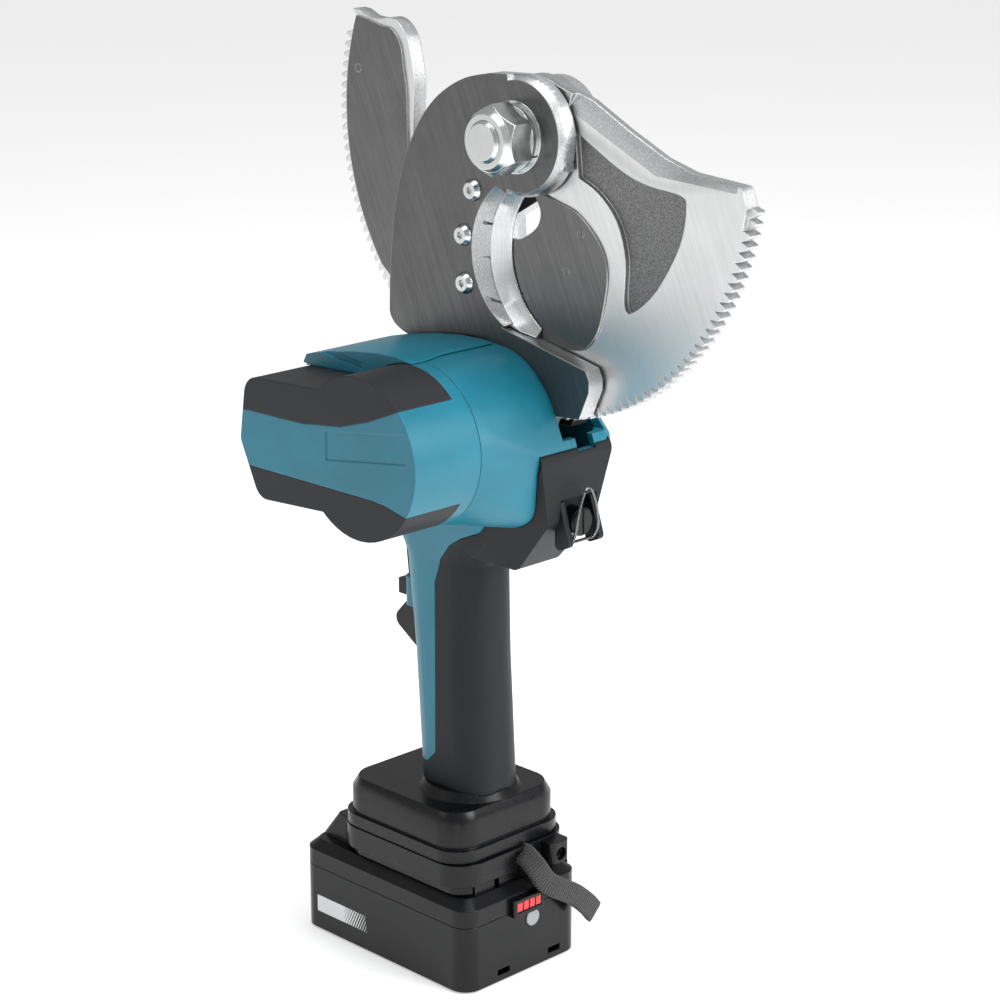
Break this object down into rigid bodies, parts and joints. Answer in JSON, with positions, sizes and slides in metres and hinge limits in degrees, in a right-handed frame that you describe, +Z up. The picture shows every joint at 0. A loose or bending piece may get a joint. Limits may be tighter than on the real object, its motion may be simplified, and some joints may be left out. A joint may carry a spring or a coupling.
{
  "type": "cordless ratchet cable cutter",
  "caption": "Cordless pistol-grip ratchet cable cutter: steel jaw plates, toothed swinging blade, crosswise motor housing, soft grip, foot and slide-on battery.",
  "frame": {"origin": "middle of the battery's flat underside, on which the tool stands", "axes": "+Z up along the grip, +Y forward (trigger side), +X to the operator's right, along the blade pivot"},
  "size_m": [0.13, 0.2456, 0.4344],
  "materials": {
    "teal_plastic": "fine texture",
    "soft_black": "matt",
    "black_plastic": "satin",
    "plate_steel": "brushed",
    "blade_steel": "bright brushed",
    "zinc": "zinc plated",
    "bronze": "plain",
    "gear_steel": "machined",
    "cast_alloy": "cast",
    "copper": "enamelled winding",
    "inner_plastic": "plain",
    "board": "circuit board",
    "contacts": "plain",
    "cell_sleeve": "sleeve",
    "red_lens": "clear red",
    "grey_plastic": "plain",
    "webbing": "woven"
  },
  "bodies": {
    "frame": {"near_plate": "plate_steel", "far_plate": "plate_steel", "fixed_blade": "blade_steel", "fixed_blade_screws": "zinc", "head_bolts": "zinc", "pivot_bolt": "zinc", "pivot_nut": "zinc", "spring_washer": "zinc", "flat_washer": "zinc", "housing_left": "teal_plastic", "housing_right": "teal_plastic", "housing_screws": "zinc", "motor_cover": "teal_plastic", "upper_bumper": "soft_black", "lower_bumper": "soft_black", "top_lid": "teal_plastic", "grip_rubber": "soft_black", "grip_pad": "soft_black", "front_trim": "soft_black", "motor_stator": "copper", "motor_end_plate": "gear_steel", "rotor_bearings": "gear_steel", "ring_gear": "gear_steel", "crank_bearings": "gear_steel", "drive_frame": "cast_alloy", "holding_pawl_pin": "gear_steel", "release_bracket": "black_plastic", "trigger_spring": "gear_steel", "switch_body": "inner_plastic", "control_board": "board", "foot_upper": "black_plastic", "foot_lower": "black_plastic", "terminal_block": "inner_plastic", "wrist_strap": "webbing"},
    "blade": {"blade_carrier": "blade_steel", "moving_blade": "plate_steel", "blade_rivets": "zinc", "pivot_bush": "bronze"},
    "rotor": {"motor_rotor": "gear_steel"},
    "planet_carrier": {"planet_carrier": "gear_steel"},
    "planet_1": {"planet_gear_1": "gear_steel"},
    "planet_2": {"planet_gear_2": "gear_steel"},
    "planet_3": {"planet_gear_3": "gear_steel"},
    "crank": {"crank_gear": "gear_steel"},
    "drive_pawl": {"drive_pawl": "gear_steel"},
    "holding_pawl": {"holding_pawl": "gear_steel"},
    "release_knob": {"release_knob": "black_plastic"},
    "bail": {"wire_bail": "zinc"},
    "trigger": {"trigger": "black_plastic"},
    "direction_lever": {"reverse_lever": "black_plastic"},
    "battery": {"battery_case": "black_plastic", "battery_top": "black_plastic", "battery_cells": "cell_sleeve", "battery_board": "board", "battery_contacts": "contacts", "gauge_frame": "black_plastic", "gauge_bars": "red_lens", "latch_spring": "gear_steel"},
    "check_button": {"check_button": "grey_plastic"},
    "latch_button": {"latch_button": "black_plastic"}
  },
  "joints": [
    {"name": "blade_swing", "type": "hinge", "parent": "frame", "child": "blade", "pos_m": [0.0084, -0.0563, 0.39], "axis": [1, 0, 0], "range_deg": [-200, 5]},
    {"name": "rotor_spin", "type": "hinge", "parent": "frame", "child": "rotor", "pos_m": [-0.065, -0.045, 0.2625], "axis": [1, 0, 0], "continuous": true},
    {"name": "carrier_spin", "type": "hinge", "parent": "frame", "child": "planet_carrier", "pos_m": [-0.034, -0.045, 0.2625], "axis": [1, 0, 0], "continuous": true},
    {"name": "planet_spin_1", "type": "hinge", "parent": "planet_carrier", "child": "planet_1", "pos_m": [-0.042, -0.045, 0.2475], "axis": [1, 0, 0], "continuous": true},
    {"name": "planet_spin_2", "type": "hinge", "parent": "planet_carrier", "child": "planet_2", "pos_m": [-0.042, -0.03201, 0.27], "axis": [1, 0, 0], "continuous": true},
    {"name": "planet_spin_3", "type": "hinge", "parent": "planet_carrier", "child": "planet_3", "pos_m": [-0.042, -0.05799, 0.27], "axis": [1, 0, 0], "continuous": true},
    {"name": "crank_spin", "type": "hinge", "parent": "frame", "child": "crank", "pos_m": [-0.01, -0.05676, 0.24632], "axis": [1, 0, 0], "continuous": true},
    {"name": "drive_pawl_turn", "type": "hinge", "parent": "crank", "child": "drive_pawl", "pos_m": [0.0088, -0.05676, 0.24852], "axis": [1, 0, 0], "continuous": true},
    {"name": "holding_pawl_swing", "type": "hinge", "parent": "frame", "child": "holding_pawl", "pos_m": [0.0088, -0.014, 0.257], "axis": [1, 0, 0], "range_deg": [-10, 0], "stiffness_Nm_per_rad": 0.08, "springref_deg": 5.73},
    {"name": "release_turn", "type": "hinge", "parent": "frame", "child": "release_knob", "pos_m": [0.0015, -0.086, 0.226], "axis": [0, -1, 0], "range_deg": [0, 90]},
    {"name": "bail_swing", "type": "hinge", "parent": "frame", "child": "bail", "pos_m": [0.003, -0.0884, 0.2172], "axis": [1, 0, 0], "range_deg": [0, 100]},
    {"name": "trigger_pull", "type": "slide", "parent": "frame", "child": "trigger", "axis": [0, -1, 0], "range_m": [0, 0.005], "stiffness_N_per_m": 500, "springref_m": -0.004},
    {"name": "direction_slide", "type": "slide", "parent": "frame", "child": "direction_lever", "axis": [1, 0, 0], "range_m": [-0.002, 0.002]},
    {"name": "battery_slide", "type": "slide", "parent": "frame", "child": "battery", "axis": [0, 1, 0], "range_m": [0, 0.09]},
    {"name": "check_press", "type": "slide", "parent": "battery", "child": "check_button", "axis": [0, 1, 0], "range_m": [0, 0.001], "stiffness_N_per_m": 400, "springref_m": -0.001},
    {"name": "latch_press", "type": "slide", "parent": "battery", "child": "latch_button", "axis": [0, 0, -1], "range_m": [0, 0.0015], "stiffness_N_per_m": 800, "springref_m": -0.003, "deforming": ["latch_spring"]}
  ],
  "couplings": [
    {"joint": "carrier_spin", "follows": "rotor_spin", "ratio": 0.2},
    {"joint": "planet_spin_1", "follows": "rotor_spin", "ratio": -0.53333},
    {"joint": "planet_spin_2", "follows": "rotor_spin", "ratio": -0.53333},
    {"joint": "planet_spin_3", "follows": "rotor_spin", "ratio": -0.53333},
    {"joint": "crank_spin", "follows": "rotor_spin", "ratio": -0.12},
    {"joint": "drive_pawl_turn", "follows": "rotor_spin", "ratio": 0.12}
  ]
}
